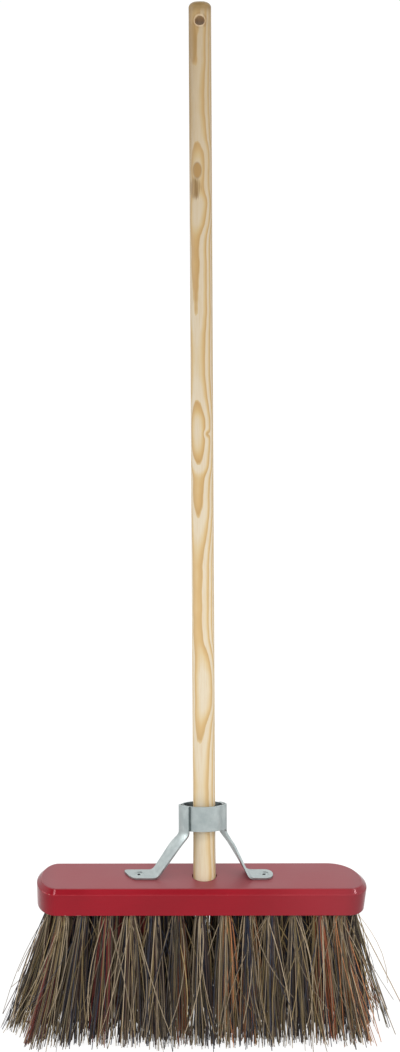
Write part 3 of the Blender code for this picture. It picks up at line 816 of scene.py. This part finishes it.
    # inside the hang hole darker: partly the bored wood's own colour, partly painted shade
    depth = (across * across + behind * behind) ** 0.5
    bored = wood.step(depth, HANDLE_RADIUS - 0.0004, HANDLE_RADIUS - 0.0022)
    bored = bored * wood.step(drop, 0.008, 0.012)
    wood.feed("Base Color", wood.mixed(bored * 0.9, rimmed, PINE_BORE_SHADED))
    wood.feed("Roughness", wood.step(flecks, 0.3, 0.7, 0.40, 0.52))
    wood.feed("Normal", wood.bump(flecks * 0.6 + phase * 0.25, 0.00006))
    return wood


handle = make_handle()
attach(handle, "root")
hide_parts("handle")

# The stays: two pressings of 2 mm strip, zinc plated to a dull blue grey. Each is a T-shaped
# blank: its cross-bar is rolled round the handle and stepped in to slide under the other one,
# and its stem bends at the knee, twists flat and turns out as a foot, countersunk for a screw.
STRIP_THICKNESS = 0.002
COLLAR_BORE = 0.0387
COLLAR_RISE = 0.060
COLLAR_OFFSET = 0.0015
BAND_HEIGHT = 0.025
LAP_GAP = 0.0008
LAP_ANGLE = radians(46)
JOGGLE_LENGTH = 0.008
LEG_WIDTH = 0.0195
LEFT_LEG_TURN = radians(31.2)
RIGHT_LEG_TURN = radians(20)
LEG_COLUMNS = 14
CORNER_FILLET = 0.003
KNEE_DROP = 0.0035
KNEE_RADIUS = 0.008
FLATTEN_LENGTH = 0.020
FOOT_BEND_REACH = 0.0465
FOOT_BEND_RADIUS = 0.008
FOOT_BEND_SKEW = radians(16)
LEFT_FOOT_LENGTH = 0.0278
RIGHT_FOOT_LENGTH = 0.0250
LEFT_FOOT_CORNER = 0.0055
RIGHT_FOOT_CORNER = 0.0085
LEFT_FOOT_SLANT = 0.55
RIGHT_FOOT_SLANT = 0.08
SCREW_HOLE_RADIUS = 0.0024
COUNTERSINK_RADIUS = 0.0049
STRIP_EDGE_ROUND = 0.0006
BAND_ROWS = 6
BEND_STEPS = 8
STRAIGHT_STEPS = (2, 16, 24)

BAND_RADIUS = (COLLAR_BORE + STRIP_THICKNESS) / 2
PLATE_RADIUS = BAND_RADIUS + STRIP_THICKNESS + LAP_GAP
FOOT_LEVEL = STOCK_TOP + FIT_GAP + STRIP_THICKNESS / 2
COLLAR_CENTRE = Vector((COLLAR_OFFSET, STOCK_CENTRE.y, STOCK_TOP))
COLLAR_FRAME = Matrix.Translation(COLLAR_CENTRE) @ Matrix.Rotation(-HANDLE_LEAN, 4, "X")


def smooth_step(value):
    value = min(max(value, 0), 1)
    return value * value * (3 - 2 * value)


def filleted_path(corners, radii, arc_steps, straight_steps):
    """Stations (point, tangent) along a bent centreline whose inner corners are rounded."""
    stations = []
    start = corners[0]
    for index, radius in enumerate(radii, 1):
        before, corner, after = corners[index - 1], corners[index], corners[index + 1]
        arriving = (corner - before).normalized()
        leaving = (after - corner).normalized()
        turn = arriving.angle(leaving)
        setback = radius * tan(turn / 2)
        arc_start = corner - arriving * setback
        for step in range(straight_steps[index - 1]):
            share = step / straight_steps[index - 1]
            stations.append((start.lerp(arc_start, share), arriving))
        inward = (leaving - arriving).normalized()
        centre = corner + inward * (radius / cos(turn / 2))
        axis = arriving.cross(leaving).normalized()
        for step in range(arc_steps + 1):
            spin = Matrix.Rotation(turn * step / arc_steps, 3, axis)
            stations.append((centre + spin @ (arc_start - centre), spin @ arriving))
        start = corner + leaving * setback
    final = (corners[-1] - start).normalized()
    for step in range(1, straight_steps[-1] + 1):
        stations.append((start.lerp(corners[-1], step / straight_steps[-1]), final))
    return stations


def leg_turn(side):
    """How far round the collar a leg stands from its own end of the stock."""
    return RIGHT_LEG_TURN if side > 0 else LEFT_LEG_TURN


def band_point(along, height, side):
    """A point of the rolled band: along runs round the collar from the leg's centreline."""
    sunk = smooth_step((along - LEG_WIDTH / 2) / JOGGLE_LENGTH)
    radius = PLATE_RADIUS + (BAND_RADIUS - PLATE_RADIUS) * sunk
    angle = leg_turn(side) + (0 if side > 0 else pi) - along / PLATE_RADIUS
    return COLLAR_FRAME @ Vector((radius * cos(angle), radius * sin(angle), height))


def half_width_at(left, corner):
    """Half the foot's width where this much of its length is left."""
    if left >= corner:
        return LEG_WIDTH / 2
    rise = corner - left
    rounded = sqrt(max(corner ** 2 - rise * rise, 0))
    return LEG_WIDTH / 2 - corner + rounded


def grid(bm, columns, rows):
    """A flat grid whose vertices come with their column and row, to be formed."""
    made = bmesh.ops.create_grid(bm, x_segments=columns, y_segments=rows, size=1)["verts"]
    return [(round((v.co.x + 1) / 2 * columns), round((v.co.y + 1) / 2 * rows), v) for v in made]


def make_stay(name, node, side, finish):
    """Form one stay's blank as an open sheet, then give it its thickness and rounded edges."""
    step = (LEG_WIDTH + CORNER_FILLET) / LEG_COLUMNS
    between_legs = pi + leg_turn(side) - leg_turn(-side)
    band_end = (between_legs + LAP_ANGLE) * PLATE_RADIUS - LEG_WIDTH / 2
    junction_end = LEG_WIDTH / 2 + CORNER_FILLET
    band_columns = ceil((band_end - junction_end) / step)
    alongs = [column * step - LEG_WIDTH / 2 for column in range(LEG_COLUMNS)]
    band_run = band_end - junction_end
    for column in range(band_columns + 1):
        alongs.append(junction_end + band_run * column / band_columns)
    bm = bmesh.new()
    lower_edge = COLLAR_RISE - BAND_HEIGHT / 2
    for column, row, vert in grid(bm, len(alongs) - 1, BAND_ROWS):
        height = lower_edge + BAND_HEIGHT * row / BAND_ROWS
        vert.co = band_point(alongs[column], height, side)

    root = band_point(0, lower_edge, side)
    knee = root - COLLAR_FRAME.to_3x3() @ Vector((0, 0, KNEE_DROP))
    bend = Vector((side * FOOT_BEND_REACH, STOCK_CENTRE.y, FOOT_LEVEL))
    foot_length = RIGHT_FOOT_LENGTH if side > 0 else LEFT_FOOT_LENGTH
    corner = RIGHT_FOOT_CORNER if side > 0 else LEFT_FOOT_CORNER
    slant_share = RIGHT_FOOT_SLANT if side > 0 else LEFT_FOOT_SLANT
    toe = bend + Vector((side * foot_length, 0, 0))
    radii = (KNEE_RADIUS, FOOT_BEND_RADIUS)
    stations = filleted_path((root, knee, bend, toe), radii, BEND_STEPS, STRAIGHT_STEPS)
    lengths = [0]
    for (here, _), (there, _) in zip(stations, stations[1:]):
        lengths.append(lengths[-1] + (there - here).length)
    nearest = min(range(len(stations)), key=lambda index: (stations[index][0] - bend).length)
    bend_length = lengths[nearest]
    root_width = band_point(step, lower_edge, side) - band_point(-step, lower_edge, side)
    root_width.normalize()
    skewed = side * Vector((sin(FOOT_BEND_SKEW), -cos(FOOT_BEND_SKEW), 0))
    square = Vector((0, -side, 0))
    for column, row, vert in grid(bm, LEG_COLUMNS, len(stations) - 1):
        point, tangent = stations[row]
        length = lengths[row]
        across = root_width.slerp(skewed, smooth_step(length / bend_length))
        across = across.slerp(square, smooth_step((length - bend_length) / (foot_length / 2)))
        outward = across.cross(tangent).normalized()
        lean = across.dot(tangent)
        stretch = 1 / sqrt(1 - lean * lean)
        half = half_width_at(lengths[-1] - length, corner)
        into_corner = max(CORNER_FILLET - length, 0)
        fillet = CORNER_FILLET - sqrt(max(CORNER_FILLET ** 2 - into_corner ** 2, 0))
        width = 2 * half + max(fillet, 0)
        along = width * column / LEG_COLUMNS - half
        flat = smooth_step(length / FLATTEN_LENGTH)
        turn = along / PLATE_RADIUS
        rolled = Vector((PLATE_RADIUS * sin(turn), PLATE_RADIUS * (cos(turn) - 1)))
        level = Vector((along * (1 + (stretch - 1) * flat), 0))
        sideways, bulge = rolled.lerp(level, flat)
        slant = along * slant_share * smooth_step((length - bend_length) / foot_length)
        vert.co = point + across * sideways + outward * bulge + tangent * slant
        if row == 0:
            vert.co = band_point(along, lower_edge, side)
    bmesh.ops.remove_doubles(bm, verts=bm.verts[:], dist=0.00001)
    bmesh.ops.recalc_face_normals(bm, faces=bm.faces[:])
    stay = add_piece(name, bm, finish)
    wall = stay.modifiers.new("strip", "SOLIDIFY")
    wall.thickness = STRIP_THICKNESS
    wall.offset = 0
    wall.use_even_offset = True
    edge = stay.modifiers.new("sheared edge", "BEVEL")
    edge.width = STRIP_EDGE_ROUND
    edge.segments = 3
    edge.angle_limit = radians(50)
    settle(stay)
    drill = bmesh.new()
    top = screw_centre(node.replace("stay", "foot_screw"))
    cone = COUNTERSINK_RADIUS - SCREW_HOLE_RADIUS
    levels = (
        (COUNTERSINK_RADIUS + OVERRUN, OVERRUN),
        (SCREW_HOLE_RADIUS, -cone),
        (SCREW_HOLE_RADIUS, -STRIP_THICKNESS - OVERRUN),
    )
    add_drill(drill, levels, 40, Matrix.Translation(top))
    bore(stay, drill)
    stay.data.shade_smooth()
    stay.data.set_sharp_from_angle(angle=radians(50))
    weigh_normals(stay)
    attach(stay, "root")
    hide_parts(node)


ZINC_LIGHT = (0.41, 0.455, 0.45)
ZINC_DULL = (0.325, 0.37, 0.37)
ZINC_STAIN = (0.23, 0.265, 0.275)
ZINC_INSIDE_SHADE = (0.19, 0.225, 0.245)


def zinc_plate():
    """Dull zinc: rolled streaks, cloudy spangle, dark scuffs, and painted shade inside the collar.
    """
    zinc = Finish("zinc_plate", {"Metallic": 1.0})
    place = zinc.place()
    cloud = zinc.noise(place, 110.0, 4.0, 0.6)
    fine = zinc.noise(place, 1300.0, 3.0, 0.6)
    streak = zinc.noise(zinc.moved(place, scale=(1, 1, 0.08)), 900.0, 3.0)
    scuff = zinc.step(zinc.noise(zinc.moved(place, scale=(0.4, 1, 1)), 420.0, 4.0, 0.7), 0.62, 0.72)
    base = zinc.mixed(zinc.step(cloud, 0.3, 0.7), ZINC_DULL, ZINC_LIGHT)
    lean = Matrix.Rotation(HANDLE_LEAN, 3, "X")
    local = zinc.moved(place, location=-(lean @ COLLAR_CENTRE), rotation=(HANDLE_LEAN, 0, 0))
    across = zinc.node("ShaderNodeSeparateXYZ", {}, {0: local}, "X")
    behind = across.output("Y")
    reach = (across * across + behind * behind) ** 0.5
    # painted shade inside the collar
    inside = zinc.step(reach, BAND_RADIUS - 0.0003, BAND_RADIUS - 0.0009)
    inside_shaded = zinc.mixed(inside * 0.8, base, ZINC_INSIDE_SHADE)
    zinc.feed("Base Color", zinc.mixed(scuff * 0.5, inside_shaded, ZINC_STAIN))
    zinc.feed("Roughness", zinc.step(cloud * 0.5 + streak * 0.5, 0.3, 0.7, 0.34, 0.5))
    zinc.feed("Normal", zinc.bump(streak * 0.5 + fine * 0.5 - scuff * 0.5, 0.00004))
    return zinc


zinc = zinc_plate()
make_stay("stay_pressing_left", "stay_left", -1, zinc)
make_stay("stay_pressing_right", "stay_right", 1, zinc)

# The foot screws: countersunk steel wood screws with a cross recess, driven through each foot
# into the stock until the head sits just below the face of the strip.
SCREW_LENGTH = 0.019
SCREW_SUNK = 0.0007
SCREW_HEAD_RADIUS = 0.00425
SCREW_SHANK_RADIUS = 0.0021
SCREW_HEAD_LAND = 0.0003
SCREW_HEAD_EDGE = 0.00015
SCREW_POINT_LENGTH = 0.005
RECESS_DEPTH = 0.0019
RECESS_REACH = 0.0030
RECESS_SLOT = 0.00085
RECESS_TAPER = 0.35
SCREW_RECESS_SHADE = (0.05, 0.045, 0.04)


def make_screw(name, node, finish):
    place = Matrix.Translation(screw_centre(node) - Vector((0, 0, SCREW_SUNK)))
    cone_end = -SCREW_HEAD_LAND - (SCREW_HEAD_RADIUS - SCREW_SHANK_RADIUS)
    profile = [
        (0, 0),
        (SCREW_HEAD_RADIUS - SCREW_HEAD_EDGE, 0),
        (SCREW_HEAD_RADIUS, -SCREW_HEAD_EDGE),
        (SCREW_HEAD_RADIUS, -SCREW_HEAD_LAND),
        (SCREW_SHANK_RADIUS, cone_end),
        (SCREW_SHANK_RADIUS, SCREW_POINT_LENGTH - SCREW_LENGTH),
        (0, -SCREW_LENGTH),
    ]
    bm = bmesh.new()
    add_spun(bm, profile, 32, place)
    screw = add_piece(name, bm, finish)
    for turn in (pi / 4, -pi / 4):
        recess = bmesh.new()
        blade = bmesh.ops.create_cube(recess, size=2)["verts"]
        for vert in blade:
            taper = 1 if vert.co.z > 0 else RECESS_TAPER
            vert.co.x *= RECESS_REACH * taper
            vert.co.y *= RECESS_SLOT
            vert.co.z = OVERRUN if vert.co.z > 0 else -RECESS_DEPTH
        bmesh.ops.rotate(recess, verts=blade, cent=(0, 0, 0), matrix=Matrix.Rotation(turn, 3, "Z"))
        bmesh.ops.transform(recess, verts=blade, matrix=place)
        bore(screw, recess)
    screw.data.shade_smooth()
    screw.data.set_sharp_from_angle(angle=radians(30))
    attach(screw, "root")
    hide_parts(node)


def screw_steel():
    """Bright steel with turning marks, and painted shade down in the recess."""
    steel = Finish("screw_steel", {"Metallic": 1.0})
    place = steel.place()
    marks = steel.noise(place, 1600.0, 3.0)
    patch = steel.noise(place, 500.0, 2.0)
    height = steel.node("ShaderNodeSeparateXYZ", {}, {0: place}, "Z")
    head = FOOT_LEVEL + STRIP_THICKNESS / 2 - SCREW_SUNK
    # painted shade below the head's top, down in the recess
    sunk = steel.step(height, head - 0.0002, head - 0.0009)
    plain = steel.mixed(steel.step(patch, 0.35, 0.65), ZINC_DULL, ZINC_LIGHT)
    steel.feed("Base Color", steel.mixed(sunk, plain, SCREW_RECESS_SHADE))
    steel.feed("Roughness", steel.step(patch, 0.3, 0.7, 0.28, 0.45))
    steel.feed("Normal", steel.bump(marks, 0.00003))
    return steel


steel = screw_steel()
make_screw("countersunk_screw_left", "foot_screw_left", steel)
make_screw("countersunk_screw_right", "foot_screw_right", steel)

# The studio: a glowing pale floor in a white surround with a dim ceiling, five round lamps, and
# a camera where the photographer stood, its long lens looking down on the stock from the front.
FLOOR_SIZE = 30.0
FLOOR_GLOW = 1.25
FLOOR_SEEN = 0.72
FLOOR_MIRRORED = 0.45
CAMERA_DISTANCE = 3.695
CAMERA_ELEVATION = radians(21.4)
CAMERA_AZIMUTH = radians(1.4)
CAMERA_ROLL = radians(-0.72)
CAMERA_LENS = 126.6
AIM_ABOVE_STOCK = 0.329
AIM_BEHIND_STOCK = 0.120
AIM_ACROSS = 0.0
FILL_LEVEL = 0.55
HORIZON_LEVEL = 1.2
GLOSS_LEVEL = 1.5
CEILING_LEVEL = 0.12
CEILING_RIGHT = 0.75


def make_floor():
    bm = bmesh.new()
    bmesh.ops.create_grid(bm, x_segments=1, y_segments=1, size=FLOOR_SIZE / 2)
    floor = add_piece("studio_floor", bm)
    paper = Finish("white_paper", {"Base Color": (0.74, 0.74, 0.74, 1), "Roughness": 0.9})
    sees = paper.node("ShaderNodeLightPath", {}, {}, "Is Camera Ray")
    glow = paper.node("ShaderNodeEmission", {}, {"Color": (1, 1, 1, 1), "Strength": FLOOR_GLOW})
    out = paper.tree.nodes["Material Output"]
    share = sees * FLOOR_SEEN + sees.output("Is Glossy Ray") * FLOOR_MIRRORED
    plain = Wire(paper, paper.shader.outputs["BSDF"])
    seen = paper.node("ShaderNodeMixShader", {}, {0: share, 1: plain, 2: glow})
    paper.tree.links.new(seen.socket, out.inputs["Surface"])
    floor.data.materials.append(paper.material)


def light_world():
    """White to the camera, a dim ceiling over a white horizon to gloss, and else an even fill."""
    world = bpy.data.worlds.new("studio")
    bpy.context.scene.world = world
    world.use_nodes = True
    tree = world.node_tree

    def join(kind, settings, links):
        made = tree.nodes.new(kind)
        for label, value in settings.items():
            setattr(made, label, value)
        for socket, value in links.items():
            if isinstance(value, bpy.types.NodeSocket):
                tree.links.new(value, made.inputs[socket])
            else:
                made.inputs[socket].default_value = value
        return made.outputs

    rays = join("ShaderNodeLightPath", {}, {})
    way = join("ShaderNodeTexCoord", {}, {})["Generated"]
    ways = join("ShaderNodeSeparateXYZ", {}, {0: way})
    height = ways["Z"]
    settings = {"interpolation_type": "SMOOTHSTEP"}
    sides = {0: ways["X"], 1: -0.05, 2: 0.03, 3: CEILING_LEVEL, 4: CEILING_RIGHT}
    ceiling = join("ShaderNodeMapRange", settings, sides)[0]
    heights = {0: height, 1: 0.18, 2: 0.36, 3: HORIZON_LEVEL, 4: GLOSS_LEVEL}
    glow = join("ShaderNodeMapRange", settings, heights)[0]
    heights = {0: height, 1: 0.6, 2: 0.86, 3: 1.0, 4: ceiling}
    dusk = join("ShaderNodeMapRange", settings, heights)[0]
    sky = join("ShaderNodeMath", {"operation": "MULTIPLY"}, {0: glow, 1: dusk})[0]
    mirrored = {0: rays["Is Glossy Ray"], 1: rays["Is Transmission Ray"]}
    shiny = join("ShaderNodeMath", {"operation": "MAXIMUM"}, mirrored)[0]
    mixed = join("ShaderNodeMapRange", {}, {0: shiny, 3: FILL_LEVEL, 4: sky})[0]
    seen = join("ShaderNodeMapRange", {}, {0: rays["Is Camera Ray"], 3: mixed, 4: 1.0})[0]
    background = tree.nodes["Background"]
    background.inputs["Color"].default_value = (1, 1, 1, 1)
    tree.links.new(seen, background.inputs["Strength"])


def add_lamp(name, place, aim, size, power, mirrored=True):
    lamp = bpy.data.lights.new(name, "AREA")
    lamp.shape = "DISK"
    lamp.size = size
    lamp.energy = power
    holder = bpy.data.objects.new(name, lamp)
    holder.visible_glossy = mirrored
    holder.location = place
    holder.rotation_euler = (Vector(aim) - Vector(place)).to_track_quat("-Z", "Y").to_euler()
    bpy.context.scene.collection.objects.link(holder)


def place_camera():
    aim = Vector((AIM_ACROSS, STOCK_CENTRE.y + AIM_BEHIND_STOCK, STOCK_TOP + AIM_ABOVE_STOCK))
    level = cos(CAMERA_ELEVATION)
    rise = sin(CAMERA_ELEVATION)
    back = Vector((sin(CAMERA_AZIMUTH) * level, -cos(CAMERA_AZIMUTH) * level, rise))
    right = Vector((cos(CAMERA_AZIMUTH), sin(CAMERA_AZIMUTH), 0))
    up = back.cross(right)
    across = right * cos(CAMERA_ROLL) + up * sin(CAMERA_ROLL)
    upward = up * cos(CAMERA_ROLL) - right * sin(CAMERA_ROLL)
    lens = bpy.data.cameras.new("camera")
    lens.lens = CAMERA_LENS
    lens.sensor_width = 36
    lens.clip_end = 100
    camera = bpy.data.objects.new("camera", lens)
    turned = Matrix((across, upward, back)).transposed().to_4x4()
    camera.matrix_world = Matrix.Translation(aim + back * CAMERA_DISTANCE) @ turned
    bpy.context.scene.collection.objects.link(camera)
    bpy.context.scene.camera = camera


make_floor()
light_world()
add_lamp("key", (0, -2.9, 1.9), (0, 0, 0.3), 2.4, 38, mirrored=False)
add_lamp("left", (-2.9, 0.1, 1.0), (0, 0, 0.3), 1.4, 20)
add_lamp("right", (2.9, -0.4, 1.0), (0, 0, 0.3), 1.8, 12)
add_lamp("left_glint", (-0.84, -1.22, 2.42), (0, 0, 0.2), 0.3, 5)
add_lamp("right_glint", (1.33, -0.97, 2.32), (0, 0, 0.2), 0.3, 9)
place_camera()
bpy.context.scene.view_settings.view_transform = "Standard"
